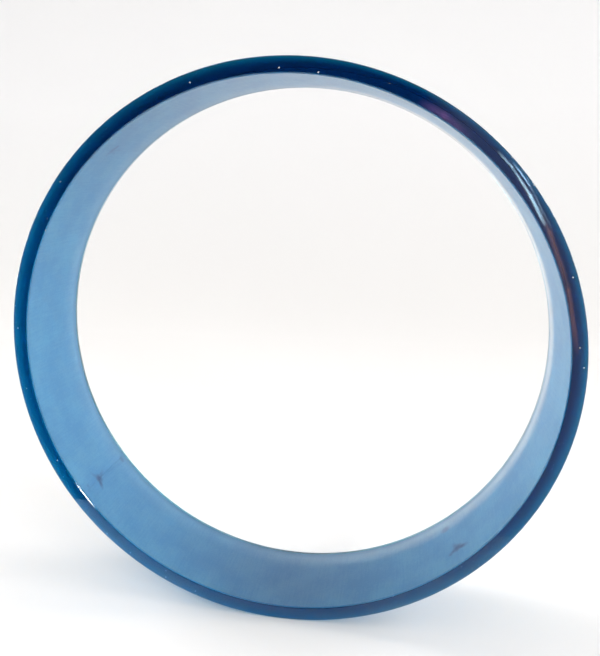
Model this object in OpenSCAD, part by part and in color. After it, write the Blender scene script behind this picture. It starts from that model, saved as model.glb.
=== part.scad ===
// Juggling ring: a deep tinted hoop with a satin grip lining let into its bore.
// The ring stands on its edge. Its axis is Y, its front faces -Y, +Z is up, and
// the origin is the ring's centre, halfway through its depth. Millimetres.

/* [Hoop] */
// Outside diameter of the hoop
outer_d = 320; // [240:1:400]
// Wall thickness of the hoop at its front and rear edges
hoop_wall = 8.4; // [5:0.1:12]
// Depth of the hoop, from its front face to its rear face
depth = 60; // [40:1:90]
// Radius that rounds the front and rear outer edges
outer_edge_r = 0.5; // [0.2:0.1:1.5]
// Radius that rounds the front and rear bore edges
bore_edge_r = 0.8; // [0.1:0.1:0.8]

/* [Grip lining] */
// Thickness of the lining strips, and depth of the recess that they fill
lining_t = 0.8; // [0.3:0.1:2]
// Width of the bare lip between the front face and the recess
front_lip = 1; // [1:0.1:12]
// Width of the bare lip between the recess and the rear face
rear_lip = 2; // [1:0.1:12]
// Radius on the strips' two exposed long edges
lining_edge_r = 0.2; // [0.1:0.05:0.25]
// Width of the gap where two strips butt together
joint_gap = 0.3; // [0.1:0.1:1]

/* [Strip joints] */
// Clock angle of the upper right joint, from the top as seen from the front
joint_upper_right = 51; // [30:0.5:70]
// Clock angle of the lower right joint
joint_lower_right = 137.5; // [110:0.5:160]
// Clock angle of the lower left joint
joint_lower_left = 234.5; // [200:0.5:250]
// Clock angle of the upper left joint
joint_upper_left = 319.5; // [290:0.5:340]

/* [Hidden] */

outer_r = outer_d / 2;
bore_r = outer_r - hoop_wall;
recess_r = bore_r + lining_t;
recess_front = depth / 2 - front_lip;
recess_rear = rear_lip - depth / 2;
lining_w = recess_front - recess_rear;
// Half of the angle that the gap at a joint takes out of each strip
gap_half_angle = asin(joint_gap / 2 / bore_r);
cut_over = 1;
$fn = 180;

// Turns a solid of revolution so that its axis is Y and its top faces the front.
module face_front() {
    rotate([90, 0, 0]) children();
}

// The sliver outside a rounded corner. The corner is at the origin and its
// material lies towards sx and sy.
module corner_cut(r, sx, sy) {
    scale([sx, sy]) difference() {
        translate([-cut_over, -cut_over]) square(r + cut_over);
        translate([r, r]) circle(r, $fn = 48);
    }
}

// A rectangle standing on the x axis from x0 to x1, with its own radius at the
// two corners of each side: r0 at x0 and r1 at x1.
module wall_section(x0, x1, y0, y1, r0, r1) {
    difference() {
        translate([x0, y0]) square([x1 - x0, y1 - y0]);
        for (end = [[y0, 1], [y1, -1]]) {
            if (r0 > 0) translate([x0, end[0]]) corner_cut(r0, 1, end[1]);
            if (r1 > 0) translate([x1, end[0]]) corner_cut(r1, -1, end[1]);
        }
    }
}

// The tinted clear hoop: a polished section of tube with a shallow recess for
// the lining turned in its bore.
module hoop() {
    color([0.05, 0.30, 0.56, 0.8]) face_front()
        rotate_extrude() difference() {
            wall_section(bore_r, outer_r, -depth / 2, depth / 2, bore_edge_r, outer_edge_r);
            translate([bore_r - cut_over, recess_rear]) square([lining_t + cut_over, lining_w]);
        }
}

// One lining strip, flush with the bore, from one joint's clock angle clockwise
// to the next one's.
module grip_strip(from, to) {
    sweep = to - from - 2 * gap_half_angle;
    color([0.45, 0.63, 0.78]) face_front()
        rotate([0, 0, 90 - to + gap_half_angle])
            rotate_extrude(angle = sweep)
                wall_section(bore_r, recess_r, recess_rear, recess_front, lining_edge_r, 0);
}

module grip_strip_top() {
    grip_strip(joint_upper_left, joint_upper_right + 360);
}

module grip_strip_right() {
    grip_strip(joint_upper_right, joint_lower_right);
}

module grip_strip_bottom() {
    grip_strip(joint_lower_right, joint_lower_left);
}

module grip_strip_left() {
    grip_strip(joint_lower_left, joint_upper_left);
}

hoop();
grip_strip_top();
grip_strip_right();
grip_strip_bottom();
grip_strip_left();
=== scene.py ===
"""Looks for the juggling ring: a deep tinted clear hoop with a satin grip lining let into its bore."""
import math

import bmesh
import bpy
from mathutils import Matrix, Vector


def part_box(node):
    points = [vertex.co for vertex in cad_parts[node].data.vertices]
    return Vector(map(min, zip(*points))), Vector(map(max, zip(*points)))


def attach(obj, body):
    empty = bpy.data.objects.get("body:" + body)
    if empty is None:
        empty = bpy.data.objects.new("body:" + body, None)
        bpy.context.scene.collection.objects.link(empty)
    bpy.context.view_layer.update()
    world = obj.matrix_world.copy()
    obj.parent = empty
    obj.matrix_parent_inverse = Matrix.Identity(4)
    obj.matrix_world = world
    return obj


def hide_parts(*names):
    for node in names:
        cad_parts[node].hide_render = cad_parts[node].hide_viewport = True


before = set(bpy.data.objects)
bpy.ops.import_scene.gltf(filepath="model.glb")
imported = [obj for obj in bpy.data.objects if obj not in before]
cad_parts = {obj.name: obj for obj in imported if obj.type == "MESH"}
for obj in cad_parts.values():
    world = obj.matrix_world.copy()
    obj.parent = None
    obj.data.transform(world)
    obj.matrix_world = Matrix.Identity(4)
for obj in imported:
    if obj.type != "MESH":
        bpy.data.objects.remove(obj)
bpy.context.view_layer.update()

MM = 0.001
STRIPS = sorted(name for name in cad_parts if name.startswith("grip_strip"))

# ---------------------------------------------------------------- sizes from the frame


def radii(node):
    """Smallest and largest distance of a CAD node's points from the ring's axis, which is Y."""
    found = [math.hypot(v.co.x, v.co.z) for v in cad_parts[node].data.vertices]
    return min(found), max(found)


def clock_span(node):
    """Clock angles, in radians from the top as seen from the front, where a strip begins and ends."""
    points = [v.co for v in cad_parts[node].data.vertices]
    middle = sum((Vector((p.x, p.z)) for p in points), Vector((0, 0)))
    centre = math.atan2(middle.x, middle.y)
    turns = [(math.atan2(p.x, p.z) - centre + math.pi) % math.tau - math.pi for p in points]
    return centre + min(turns), centre + max(turns)


hoop_low, hoop_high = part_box("hoop")
front_y, rear_y = hoop_low.y, hoop_high.y
bore_r, outer_r = radii("hoop")
recess_r = radii(STRIPS[0])[1]
recess_front, recess_rear = (corner.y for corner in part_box(STRIPS[0]))
floor_z = hoop_low.z

# ---------------------------------------------------------------- camera and stage

LENS_MM = 35.99
SENSOR_MM = 36
CAMERA_PLACE = Vector((0.0699, -0.3698, 0.1035))
CAMERA_HEADING = math.radians(9.81)
CAMERA_PITCH = math.radians(13.34)
# Edges that turn by more than this stay sharp
SHARP_OVER = math.radians(30)


def link(obj):
    bpy.context.scene.collection.objects.link(obj)
    return obj


def add_camera():
    data = bpy.data.cameras.new("camera")
    data.lens = LENS_MM
    data.sensor_width = SENSOR_MM
    camera = link(bpy.data.objects.new("camera", data))
    camera.location = CAMERA_PLACE
    camera.rotation_euler = (math.pi / 2 - CAMERA_PITCH, 0, CAMERA_HEADING)
    bpy.context.scene.camera = camera


def new_object(name, bm, material):
    """Turns a bmesh into a linked object whose curves are smooth and whose flat faces shade flat."""
    bmesh.ops.recalc_face_normals(bm, faces=bm.faces)
    mesh = bpy.data.meshes.new(name)
    bm.to_mesh(mesh)
    bm.free()
    mesh.materials.append(material)
    mesh.polygons.foreach_set("use_smooth", [True] * len(mesh.polygons))
    mesh.set_sharp_from_angle(angle=SHARP_OVER)
    made = link(bpy.data.objects.new(name, mesh))
    normals = made.modifiers.new("flat_faces", "WEIGHTED_NORMAL")
    normals.keep_sharp = True
    return made


# A spot is full as far out as its core, as a share of its size. A stroke starts to fade this far
# along its length, and is this strong at its end.
SPOT_CORE = 0.3
STROKE_FADES, STROKE_END = 0.6, 0.3


class Shader:
    """Shorthand for building a material's or the world's node tree."""

    def __init__(self, tree, output):
        self.tree = tree
        self.tree.nodes.clear()
        self.output = self.node(output)

    def node(self, kind, inputs=None, **settings):
        made = self.tree.nodes.new(kind)
        for key, value in settings.items():
            setattr(made, key, value)
        for key, value in (inputs or {}).items():
            if isinstance(value, bpy.types.NodeSocket):
                self.tree.links.new(value, made.inputs[key])
            else:
                made.inputs[key].default_value = value
        return made

    def math(self, operation, a, b=None):
        inputs = {0: a} if b is None else {0: a, 1: b}
        return self.node("ShaderNodeMath", inputs, operation=operation).outputs[0]

    def noise(self, vector, scale, detail=2.0, roughness=0.5):
        return self.node(
            "ShaderNodeTexNoise",
            {"Vector": vector, "Scale": scale, "Detail": detail, "Roughness": roughness},
        ).outputs["Fac"]

    def remap(self, value, from_low, from_high, to_low, to_high):
        return self.node(
            "ShaderNodeMapRange",
            {0: value, 1: from_low, 2: from_high, 3: to_low, 4: to_high},
        ).outputs[0]

    def blend(self, factor, first, second):
        """A colour between two others."""
        return self.node("ShaderNodeMix", {0: factor, 6: first, 7: second}, data_type="RGBA").outputs[2]

    def spot(self, place, centre, size):
        """1 round a point, and 0 further from it than its size."""
        away = self.node("ShaderNodeVectorMath", {0: place, 1: centre}, operation="DISTANCE")
        return self.remap(away.outputs["Value"], SPOT_CORE * size, size, 1, 0)

    def stroke(self, place, start, end, width):
        """1 on a line from one point to another, which fades to its sides and toward its end."""
        run = Vector(end) - Vector(start)
        away = self.node("ShaderNodeVectorMath", {0: place, 1: start}, operation="SUBTRACT")
        from_start = away.outputs[0]
        step = run / run.length_squared
        along = self.node("ShaderNodeVectorMath", {0: from_start, 1: step}, operation="DOT_PRODUCT")
        along = self.remap(along.outputs["Value"], 0, 1, 0, 1)
        nearest = self.node("ShaderNodeVectorMath", {0: run, "Scale": along}, operation="SCALE")
        across = self.spot(from_start, nearest.outputs[0], width)
        return self.math("MULTIPLY", across, self.remap(along, STROKE_FADES, 1, 1, STROKE_END))

    def join(self, socket, into):
        self.tree.links.new(socket, self.output.inputs[into])


def new_material(name):
    material = bpy.data.materials.new(name)
    material.use_nodes = True
    return material, Shader(material.node_tree, "ShaderNodeOutputMaterial")


PAPER_FLOOR = (0.79, 0.78, 0.77, 1)
PAPER_WALL = (0.96, 0.96, 0.97, 1)
PAPER_ROUGH = 0.9
# Height over which the paper turns from its floor's white to its wall's, painted brighter to make up
# for the weaker light on the wall
PAPER_BRIGHTENS = 0.45


def paper_material():
    """White paper, darker and warmer on the floor, and painted brighter where it rises to make up for
    the weaker light on the wall.
    """
    material, s = new_material("white_sweep")
    place = s.node("ShaderNodeTexCoord").outputs["Object"]
    height = s.node("ShaderNodeSeparateXYZ", {0: place}).outputs["Z"]
    risen = s.remap(height, floor_z, floor_z + PAPER_BRIGHTENS, 0, 1)
    colour = s.blend(risen, PAPER_FLOOR, PAPER_WALL)
    bsdf = s.node("ShaderNodeBsdfPrincipled", {"Base Color": colour, "Roughness": PAPER_ROUGH})
    s.join(bsdf.outputs[0], "Surface")
    return material


# Y of the near edge of the table that the ring's gloss mirrors, and of the floor that the camera sees
TABLE_EDGE, FLOOR_EDGE = -0.147, -1.6
SWEEP_HALF_WIDTH = 1.88
SWEEP_BACK = 1.1
SWEEP_RISE = 1.9
SWEEP_BEND = 0.45
SWEEP_BEND_STEPS = 16


def add_sheet(name, profile, material):
    """A stage sheet that runs from side to side along a profile of (y, z) points."""
    bm = bmesh.new()
    sides = (-SWEEP_HALF_WIDTH, SWEEP_HALF_WIDTH)
    rows = [[bm.verts.new((x, y, z)) for y, z in profile] for x in sides]
    for i in range(len(profile) - 1):
        bm.faces.new((rows[0][i], rows[1][i], rows[1][i + 1], rows[0][i + 1]))
    sheet = new_object(name, bm, material)
    return sheet


def add_sweep():
    """A white sheet that lies flat under the ring and curves up behind it.

    The part of the floor in front of the table's edge doesn't show in the ring's gloss.
    """
    paper = paper_material()
    bend_y = SWEEP_BACK - SWEEP_BEND
    profile = [(TABLE_EDGE, floor_z), (bend_y, floor_z)]
    for i in range(1, SWEEP_BEND_STEPS + 1):
        turn = i / SWEEP_BEND_STEPS * math.pi / 2
        rise = SWEEP_BEND * (1 - math.cos(turn))
        profile.append((bend_y + SWEEP_BEND * math.sin(turn), floor_z + rise))
    profile.append((SWEEP_BACK, floor_z + SWEEP_RISE))
    add_sheet("sweep", profile, paper)
    front = add_sheet("front_floor", [(FLOOR_EDGE, floor_z), (TABLE_EDGE, floor_z)], paper)
    front.visible_glossy = False
    front.visible_transmission = False


LAMP_TURN = math.radians(47)
LAMP_HEIGHT = math.radians(23)
LAMP_AWAY = 1.5
LAMP_SIZE = 0.16
LAMP_POWER = 2.0


def add_lamp():
    """A small soft lamp to the right of the camera, for the glint on the front bore edge."""
    data = bpy.data.lights.new("lamp", "AREA")
    data.shape = "DISK"
    data.size = LAMP_SIZE
    data.energy = LAMP_POWER
    lamp = link(bpy.data.objects.new("lamp", data))
    flat = math.cos(LAMP_HEIGHT)
    toward = Vector((flat * math.sin(LAMP_TURN), -flat * math.cos(LAMP_TURN), math.sin(LAMP_HEIGHT)))
    lamp.location = toward * LAMP_AWAY
    lamp.rotation_euler = toward.to_track_quat("Z", "Y").to_euler()


# Soft light panels round the ring, as degrees: the turns that one lies between, from 0 in front
# toward 90 at the right, the heights that it lies between, and then its brightness.
PANELS = {
    "softbox": (34, 62, 20, 24.5, 42.0),
    "right_wall": (66, 125, -4, 50, 4.8),
    "left_wall": (-130, -92, -4, 50, 6.6),
    "left_front": (-90, -38, -4, 50, 0.8),
    "window": (2, 30, -45, 16, 0.6),
    "ceiling": (-185, 185, 52, 95, 0.75),
}
# Half of the width, in degrees, over which a panel's edges fade
PANEL_SOFT = 1.5
# Narrow bright and warm cards in the dark in front, for the polished face to mirror. Each goes from
# one place to another on a wall one metre in front, as (right, up), with its width and colour.
CARDS = {
    "blind_edge_high": ((0.136, 0.009), (0.117, 0.031), 0.0024, (6.5, 10.0, 12.0, 1)),
    "blind_edge": ((0.164, -0.032), (0.136, 0.009), 0.0028, (8.0, 13.0, 16.0, 1)),
    "blind_edge_low": ((0.164, -0.032), (0.186, -0.071), 0.0034, (9.0, 16.0, 20.0, 1)),
    "blind_rim": ((0.1625, -0.016), (0.138, 0.016), 0.0020, (8.0, 13.0, 17.0, 1)),
    "blind_rim_low": ((0.1625, -0.016), (0.198, -0.078), 0.0014, (3.4, 5.0, 6.0, 1)),
    "wooden_rail_high": ((0.1945, -0.0835), (0.144, -0.002), 0.0050, (1.5, 0.8, 0.5, 1)),
    "wooden_rail": ((0.1945, -0.0835), (0.2266, -0.167), 0.0058, (2.2, 1.0, 0.35, 1)),
    "wooden_rail_low": ((0.2266, -0.167), (0.2480, -0.260), 0.0052, (2.2, 0.9, 0.2, 1)),
    "doorway": ((0.0370, 0.080), (0.006, 0.097), 0.0080, (1.4, 0.6, 1.6, 1)),
    "doorway_low": ((0.0370, 0.080), (0.070, 0.052), 0.0080, (1.2, 0.5, 1.3, 1)),
}
# The cards fade out between these cosines of the angle from straight ahead
CARDS_GONE, CARDS_FULL = 0.1, 0.2
ROOM_DARK = 0.02
BACKGROUND_WHITE = 0.95
STUDIO_WHITE = (1.0, 0.99, 0.98, 1)


def add_panel(s, turn, height, panel):
    """The glow of one light panel, with soft edges."""
    *edges, brightness = panel
    left, right, low, high = (math.radians(angle) for angle in edges)
    soft = math.radians(PANEL_SOFT)
    across = s.math(
        "MULTIPLY",
        s.remap(turn, left - soft, left + soft, 0, 1),
        s.remap(turn, right + soft, right - soft, 0, 1),
    )
    upright = s.math(
        "MULTIPLY",
        s.remap(height, low - soft, low + soft, 0, 1),
        s.remap(height, high + soft, high - soft, 0, 1),
    )
    return s.math("MULTIPLY", s.math("MULTIPLY", across, upright), brightness)


def add_world():
    """A studio of soft panels, with a dark gap that the ring's front face mirrors.

    The camera sees plain white instead.
    """
    world = bpy.data.worlds.new("studio")
    world.use_nodes = True
    s = Shader(world.node_tree, "ShaderNodeOutputWorld")
    direction = s.node("ShaderNodeTexCoord").outputs["Generated"]
    axes = s.node("ShaderNodeSeparateXYZ", {0: direction})
    ahead = s.math("MULTIPLY", axes.outputs["Y"], -1.0)
    turn = s.math("ARCTAN2", axes.outputs["X"], ahead)
    height = s.math("ARCSINE", axes.outputs["Z"])
    around = ROOM_DARK
    for panel in PANELS.values():
        around = s.math("ADD", add_panel(s, turn, height, panel), around)
    light = s.node("ShaderNodeBackground", {"Color": STUDIO_WHITE, "Strength": around}).outputs[0]
    right = s.math("DIVIDE", axes.outputs["X"], ahead)
    up = s.math("DIVIDE", axes.outputs["Z"], ahead)
    wall = s.node("ShaderNodeCombineXYZ", {0: right, 1: up}).outputs[0]
    in_front = s.remap(ahead, CARDS_GONE, CARDS_FULL, 0, 1)
    for start, end, width, colour in CARDS.values():
        shape = s.stroke(wall, (*start, 0), (*end, 0), width)
        strength = s.math("MULTIPLY", shape, in_front)
        card = s.node("ShaderNodeBackground", {"Color": colour, "Strength": strength}).outputs[0]
        light = s.node("ShaderNodeAddShader", {0: light, 1: card}).outputs[0]
    seen = s.node("ShaderNodeBackground", {"Color": STUDIO_WHITE, "Strength": BACKGROUND_WHITE})
    camera_ray = s.node("ShaderNodeLightPath").outputs["Is Camera Ray"]
    both = s.node("ShaderNodeMixShader", {0: camera_ray, 1: light, 2: seen.outputs[0]})
    s.join(both.outputs[0], "Surface")
    bpy.context.scene.world = world


# ---------------------------------------------------------------- materials

DYE_COLOUR = (0.0, 0.85, 0.911, 1)
DYE_DENSITY = 450.0
PLASTIC_IOR = 1.49
# Where the lining is bonded to the plastic, light crosses as if there were no surface
BOND_IOR = 1.001
# Names of the hoop's face attributes: 1 where the lining is bonded to it, and its roughness
BONDED = "bonded"
DULLED = "dulled"
# The scuffs, the waves and the dust are given by how many cells of a pattern lie along a metre
SCUFFS_PER_METRE = 240
SCUFF_LOW, SCUFF_HIGH = 0.5, 0.7
SCUFF_ROUGH = 0.05
WAVES_PER_METRE = 60
WAVE_HEIGHT = 0.006 * MM
DUST_PER_METRE = 140
DUST_CORE = 0.5
DUST_SIZE = 0.07
DUST_SHARE = 0.7
DUST_WHITE = (0.9, 0.9, 0.9, 1)


def tinted_clear():
    """Clear plastic dyed deep blue: light loses its red and green along its way through.

    Its surface is polished, but slightly wavy, faintly scuffed and dusty, except where the lining is
    bonded to it.
    """
    material, s = new_material("tinted_clear")
    place = s.node("ShaderNodeTexCoord").outputs["Object"]
    bonded = s.node("ShaderNodeAttribute", attribute_name=BONDED).outputs["Fac"]
    dulled = s.node("ShaderNodeAttribute", attribute_name=DULLED).outputs["Fac"]
    bare = s.math("SUBTRACT", 1.0, bonded)
    scuffs = s.noise(place, SCUFFS_PER_METRE, 6, 0.7)
    scuffs = s.math("MULTIPLY", s.remap(scuffs, SCUFF_LOW, SCUFF_HIGH, 0, SCUFF_ROUGH), bare)
    rough = s.math("ADD", dulled, scuffs)
    ior = s.remap(bonded, 0, 1, PLASTIC_IOR, BOND_IOR)
    waves = s.math("MULTIPLY", s.noise(place, WAVES_PER_METRE, 1), WAVE_HEIGHT)
    normal = s.node("ShaderNodeBump", {"Distance": 1.0, "Height": waves}).outputs[0]
    bsdf = s.node(
        "ShaderNodeBsdfPrincipled",
        {
            "Base Color": (1, 1, 1, 1),
            "Roughness": rough,
            "IOR": ior,
            "Transmission Weight": 1.0,
            "Normal": normal,
        },
    )
    cells = s.node("ShaderNodeTexVoronoi", {"Vector": place, "Scale": DUST_PER_METRE})
    dust = s.remap(cells.outputs["Distance"], DUST_CORE * DUST_SIZE, DUST_SIZE, DUST_SHARE, 0)
    dust = s.math("MULTIPLY", dust, bare)
    speck = s.node("ShaderNodeBsdfDiffuse", {"Color": DUST_WHITE})
    both = s.node("ShaderNodeMixShader", {0: dust, 1: bsdf.outputs[0], 2: speck.outputs[0]})
    s.join(both.outputs[0], "Surface")
    absorption = s.node("ShaderNodeVolumeAbsorption", {"Color": DYE_COLOUR, "Density": DYE_DENSITY})
    s.join(absorption.outputs[0], "Volume")
    return material


FILM_THIN = (0.48, 0.755, 0.91, 1)
FILM_DENSE = (0.37, 0.66, 0.86, 1)
# Colour of the painted shade line along the lining's front edge
FILM_EDGE_SHADE = (0.20, 0.45, 0.66, 1)
FILM_PUCKER = (0.27, 0.36, 0.55, 1)
FILM_REAR = (0.40, 0.62, 0.78, 1)
FILM_SKIN = (0.30, 0.50, 0.80, 1)
# Pale colour of the painted sheen
FILM_PAINTED_SHEEN = (0.85, 0.90, 0.95, 1)
FILM_SKIN_SHARE = 0.08
FILM_GLOSS_SHARE = 0.7
FILM_ROUGH, FILM_ROUGH_SPREAD = 0.4, 0.06
FILM_IOR = 1.45
# The film's mottle is made of clouds, grain and streaks drawn out along the bore, each with its part
CLOUDS_PER_METRE = 45
GRAIN_PER_METRE = 900
STREAKS_PER_MM = 0.9
STREAKS_DRAWN = 0.06
CLOUD_PART, GRAIN_PART, STREAK_PART = 0.5, 0.25, 0.25
MOTTLE_LOW, MOTTLE_HIGH = 0.42, 0.58
CLOUD_LOW, CLOUD_HIGH = 0.3, 0.7
MOTTLE_RISES = 0.04 * MM
PUCKER_RISES = 0.2 * MM
BUMP_STRENGTH = 0.6
# The lining has a painted sheen, a pale and glossier band toward its rear edge, and its last few
# millimetres are darker and greyer. Shares of the ring's depth say where the painted sheen begins and
# is full, and where it fades and has faded.
SHEEN_BAND_BEGINS, SHEEN_BAND_FULL, SHEEN_BAND_ENDS, SHEEN_BAND_GONE = 0.68, 0.85, 0.88, 0.93
SHEEN_BAND_SKIN = 0.06
SHEEN_BAND_GLOSS = 0.85
SHEEN_BAND_LEFT = 0.6
REAR_DENSE = 0.8
# A fine pale seam line, its paleness a painted highlight, where the darker rear part begins, by its
# place and width as shares of the depth
SEAM_HIGHLIGHT_PLACE, SEAM_HIGHLIGHT_WIDTH, SEAM_HIGHLIGHT_SKIN = 0.887, 0.008, 0.15
# The side of the ring, by its clock angle, where the painted sheen is strongest. It fades between
# these cosines of the angle from it, down to the least.
SHEEN_BAND_SIDE = math.radians(100)
SHEEN_BAND_AWAY, SHEEN_BAND_NEAR = -0.2, 0.8
SHEEN_BAND_LEAST = 0.22
# Width of the painted shade line along the lining's front edge, and the share of it that is full
EDGE_SHADE_LINE, EDGE_SHADE_LINE_FULL = 0.35 * MM, 0.5
# Puckers in the film, by the strip that begins at their joint. Each has its distance behind the front
# face, then dots and strokes in millimetres from its middle, as (clockwise, backward): dots with their
# size and strength, and strokes with their width and strength.
PUCKERS = {
    "grip_strip_left": (
        20.6,
        [(0, 0, 3.6, 1.0), (1.4, -13, 1.6, 0.3), (-1.5, 32, 2.8, 0.6)],
        [
            ((0, 0), (-5.6, -3.3), 1.8, 0.9),
            ((0, 0), (6.2, -3.8), 1.6, 0.35),
            ((0, 0), (1.9, 7.4), 1.6, 0.45),
            ((-1, 12), (-3, 33), 1.2, 0.12),
        ],
    ),
    "grip_strip_bottom": (
        17.5,
        [(0, 0, 4.2, 1.0), (7.4, 27.7, 4.2, 0.6), (4.9, -2.6, 2.0, 0.6)],
        [
            ((0, 0), (-6.2, -2.3), 2.4, 1.0),
            ((0, 0), (5.2, -2.2), 2.1, 0.8),
            ((0, 0), (2.4, 5.6), 2.0, 0.6),
        ],
    ),
    "grip_strip_top": (
        16.9,
        [(0, 0, 3.2, 0.4)],
        [
            ((3.0, 1.1), (-3.2, -1.4), 2.0, 0.45),
            ((0, 0), (-2.6, 5.9), 1.4, 0.2),
            ((0, 2), (0.9, 11), 1.2, 0.15),
        ],
    ),
}


def pucker_mark(s, around, behind):
    """Where the film is puckered, as seen in a flat map of millimetres round and along the bore."""
    mark = 0.0
    for node, (distance, dots, strokes) in PUCKERS.items():
        joint = math.remainder(clock_span(node)[0], math.tau) * bore_r / MM
        clockwise = s.math("SUBTRACT", around, joint)
        backward = s.math("SUBTRACT", behind, distance)
        place = s.node("ShaderNodeCombineXYZ", {0: clockwise, 1: backward}).outputs[0]
        for x, y, size, strength in dots:
            dot = s.math("MULTIPLY", s.spot(place, (x, y, 0), size), strength)
            mark = s.math("MAXIMUM", dot, mark)
        for start, end, width, strength in strokes:
            line = s.math("MULTIPLY", s.stroke(place, (*start, 0), (*end, 0), width), strength)
            mark = s.math("MAXIMUM", line, mark)
    return mark


def satin_lining():
    """Satin film that glows with the light behind it, and turns pale where it's seen at a slant.

    It's finely mottled, with streaks along the bore, puckers at the joints, a painted sheen band
    toward the rear and a painted shade line along its front edge.
    """
    material, s = new_material("satin_lining")
    place = s.node("ShaderNodeTexCoord").outputs["Object"]
    axes = s.node("ShaderNodeSeparateXYZ", {0: place})
    clock = s.math("ARCTAN2", axes.outputs["X"], axes.outputs["Z"])
    around = s.math("MULTIPLY", clock, bore_r / MM)
    behind = s.math("DIVIDE", s.math("SUBTRACT", axes.outputs["Y"], front_y), MM)
    depth = (rear_y - front_y) / MM
    share = s.math("DIVIDE", behind, depth)

    clouds = s.noise(place, CLOUDS_PER_METRE, 4, 0.6)
    grain = s.noise(place, GRAIN_PER_METRE, 2, 0.6)
    squashed = s.math("MULTIPLY", behind, STREAKS_DRAWN)
    drawn = s.node("ShaderNodeCombineXYZ", {0: around, 1: squashed}).outputs[0]
    streaks = s.noise(drawn, STREAKS_PER_MM, 3, 0.6)
    clouds_part = s.math("MULTIPLY", clouds, CLOUD_PART)
    mottle = s.math("ADD", clouds_part, s.math("MULTIPLY", grain, GRAIN_PART))
    mottle = s.math("ADD", mottle, s.math("MULTIPLY", streaks, STREAK_PART))
    tint = s.blend(s.remap(mottle, MOTTLE_LOW, MOTTLE_HIGH, 0, 1), FILM_DENSE, FILM_THIN)

    # Painted sheen: a pale, glossier band toward the rear, strongest on one side of the ring
    painted_sheen = s.math(
        "MULTIPLY",
        s.remap(share, SHEEN_BAND_BEGINS, SHEEN_BAND_FULL, 0, 1),
        s.remap(share, SHEEN_BAND_ENDS, SHEEN_BAND_GONE, 1, SHEEN_BAND_LEFT),
    )
    facing = s.math("COSINE", s.math("SUBTRACT", clock, SHEEN_BAND_SIDE))
    sheen_side = s.remap(facing, SHEEN_BAND_AWAY, SHEEN_BAND_NEAR, SHEEN_BAND_LEAST, 1)
    painted_sheen = s.math("MULTIPLY", painted_sheen, sheen_side)
    dense = s.remap(share, SHEEN_BAND_ENDS, SHEEN_BAND_GONE, 0, REAR_DENSE)
    tint = s.blend(dense, tint, FILM_REAR)
    # Painted shade: a dark line along the lining's front edge, next to the hoop's lip
    shade_line_from, shade_line_full = recess_front + EDGE_SHADE_LINE, recess_front + EDGE_SHADE_LINE_FULL * EDGE_SHADE_LINE
    line = s.remap(axes.outputs["Y"], shade_line_from, shade_line_full, 0, 1)
    tint = s.blend(line, tint, FILM_EDGE_SHADE)
    pucker = pucker_mark(s, around, behind)
    tint = s.blend(pucker, tint, FILM_PUCKER)

    height = s.math(
        "ADD",
        s.math("MULTIPLY", mottle, MOTTLE_RISES),
        s.math("MULTIPLY", pucker, PUCKER_RISES),
    )
    bump = s.node("ShaderNodeBump", {"Strength": BUMP_STRENGTH, "Distance": 1.0, "Height": height})
    normal = bump.outputs[0]
    glow = s.node("ShaderNodeBsdfTranslucent", {"Color": tint, "Normal": normal})
    # The skin turns to the painted sheen's pale colour in the band
    pale = s.blend(painted_sheen, FILM_SKIN, FILM_PAINTED_SHEEN)
    skin = s.node("ShaderNodeBsdfDiffuse", {"Color": pale, "Normal": normal})
    skin_share = s.math("ADD", s.math("MULTIPLY", painted_sheen, SHEEN_BAND_SKIN), FILM_SKIN_SHARE)
    # A painted highlight along the pale seam line
    from_seam_highlight = s.math("ABSOLUTE", s.math("SUBTRACT", share, SEAM_HIGHLIGHT_PLACE))
    skin_share = s.math("ADD", skin_share, s.remap(from_seam_highlight, 0, SEAM_HIGHLIGHT_WIDTH, SEAM_HIGHLIGHT_SKIN, 0))
    film = s.node("ShaderNodeMixShader", {0: skin_share, 1: glow.outputs[0], 2: skin.outputs[0]})
    least_rough, most_rough = FILM_ROUGH - FILM_ROUGH_SPREAD, FILM_ROUGH + FILM_ROUGH_SPREAD
    rough = s.remap(clouds, CLOUD_LOW, CLOUD_HIGH, least_rough, most_rough)
    gloss = s.node(
        "ShaderNodeBsdfAnisotropic", {"Color": (1, 1, 1, 1), "Roughness": rough, "Normal": normal}
    )
    slant = s.node("ShaderNodeFresnel", {"IOR": FILM_IOR}).outputs[0]
    # The painted sheen also raises the gloss share
    gloss_share = s.math("ADD", s.math("MULTIPLY", painted_sheen, SHEEN_BAND_GLOSS), FILM_GLOSS_SHARE)
    sheen = s.math("MULTIPLY", slant, gloss_share)
    both = s.node("ShaderNodeMixShader", {0: sheen, 1: film.outputs[0], 2: gloss.outputs[0]})
    s.join(both.outputs[0], "Surface")
    return material


# ---------------------------------------------------------------- the ring's pieces

HOOP_STEPS = 720
ARC_STEPS = 6
OUTER_EDGE_R = 0.5 * MM
BORE_EDGE_R = 0.8 * MM
FRONT_CHAMFER = 0.6 * MM
LINING_EDGE_R = 0.2 * MM
# Clearance of the strips from the hoop, and the tolerance for telling the hoop's faces apart
BOND_GAP = 0.02 * MM
# How much closer each strip comes to the middle of its joint than in the CAD
JOINT_CLOSES = 0.1 * MM
OUTER_WALL_ROUGH = 0.42
REAR_LIP_ROUGH = 0.4


def corner(r, y, radius, toward_r, toward_y, from_turn, steps=ARC_STEPS):
    """Points of a rounded corner at (r, y), whose material lies toward (toward_r, toward_y).

    With one step it's a chamfer.
    """
    centre = (r + toward_r * radius, y + toward_y * radius)
    points = []
    for i in range(steps + 1):
        turn = math.radians(from_turn + 90 * i / steps)
        points.append((centre[0] + radius * math.cos(turn), centre[1] + radius * math.sin(turn)))
    return points


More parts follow.
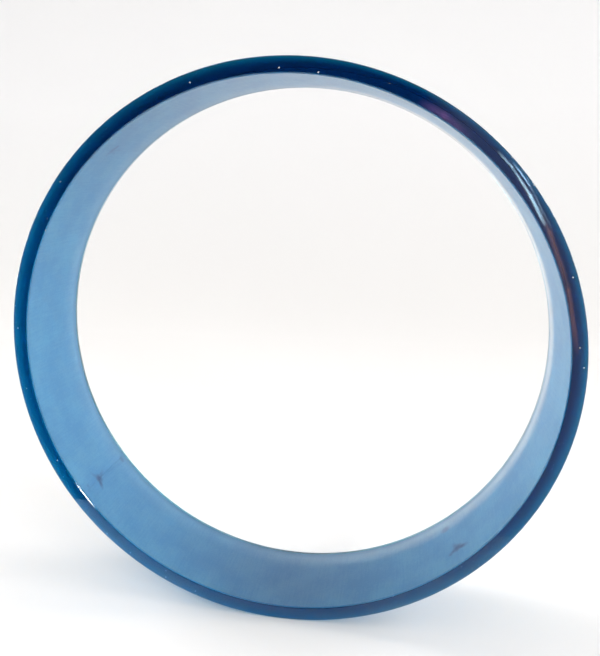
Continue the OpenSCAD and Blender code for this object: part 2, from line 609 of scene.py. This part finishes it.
def lathe(bm, profile, clock_from, clock_to, steps):
    """Turns a closed profile of (r, y) points round the Y axis, all the way or with flat ends."""
    whole = clock_to - clock_from > math.tau - 1e-6
    rings = []
    for i in range(steps if whole else steps + 1):
        clock = clock_from + (clock_to - clock_from) * i / steps
        rings.append([bm.verts.new((r * math.sin(clock), y, r * math.cos(clock))) for r, y in profile])
    next_rings = rings[1:] + ([rings[0]] if whole else [])
    for this, following in zip(rings, next_rings):
        for k in range(len(profile)):
            n = (k + 1) % len(profile)
            bm.faces.new((this[k], this[n], following[n], following[k]))
    if not whole:
        bm.faces.new(rings[0])
        bm.faces.new(rings[-1])


def in_recess(point):
    """True for a point on the floor or the sides of the recess."""
    in_wall = bore_r + BOND_GAP < math.hypot(point.x, point.z) < recess_r + BOND_GAP
    return in_wall and recess_front - BOND_GAP < point.y < recess_rear + BOND_GAP


def dulling(point):
    """Roughness of the hoop at a point: polished, but for its outer wall and the rear of its bore."""
    from_axis = math.hypot(point.x, point.z)
    if from_axis > outer_r - BOND_GAP and abs(point.y) < rear_y - OUTER_EDGE_R:
        return OUTER_WALL_ROUGH
    if from_axis < bore_r + BOND_GAP and point.y > recess_rear:
        return REAR_LIP_ROUGH
    return 0.0


def add_hoop():
    """The polished hoop, with a chamfered front bore edge and the recess that the lining fills."""
    profile = (
        corner(bore_r, front_y, FRONT_CHAMFER, 1, 1, 180, steps=1)
        + corner(outer_r, front_y, OUTER_EDGE_R, -1, 1, 270)
        + corner(outer_r, rear_y, OUTER_EDGE_R, -1, -1, 0)
        + corner(bore_r, rear_y, BORE_EDGE_R, 1, -1, 90)
        + [(bore_r, recess_rear), (recess_r, recess_rear)]
        + [(recess_r, recess_front), (bore_r, recess_front)]
    )
    bm = bmesh.new()
    lathe(bm, profile, 0, math.tau, HOOP_STEPS)
    hoop = new_object("tinted_hoop", bm, tinted_clear())
    bonded = [float(in_recess(face.center)) for face in hoop.data.polygons]
    dulled = [dulling(face.center) for face in hoop.data.polygons]
    hoop.data.attributes.new(BONDED, "FLOAT", "FACE").data.foreach_set("value", bonded)
    hoop.data.attributes.new(DULLED, "FLOAT", "FACE").data.foreach_set("value", dulled)
    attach(hoop, "root")
    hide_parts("hoop")


def add_strips():
    """The lining's strips, flush with the bore and a hair clear of the recess that holds them."""
    material = satin_lining()
    front, rear = recess_front + BOND_GAP, recess_rear - BOND_GAP
    back_r = recess_r - BOND_GAP
    profile = (
        corner(bore_r, front, LINING_EDGE_R, 1, 1, 180)
        + [(back_r, front), (back_r, rear)]
        + corner(bore_r, rear, LINING_EDGE_R, 1, -1, 90)
    )
    for node in STRIPS:
        begin, end = clock_span(node)
        begin, end = begin - JOINT_CLOSES / bore_r, end + JOINT_CLOSES / bore_r
        bm = bmesh.new()
        lathe(bm, profile, begin, end, round(HOOP_STEPS * (end - begin) / math.tau))
        strip = new_object(node.replace("grip", "satin"), bm, material)
        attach(strip, "root")
        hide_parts(node)


# ---------------------------------------------------------------- build

add_camera()
add_sweep()
add_world()
add_lamp()
add_hoop()
add_strips()
bpy.context.scene.view_settings.view_transform = "Standard"
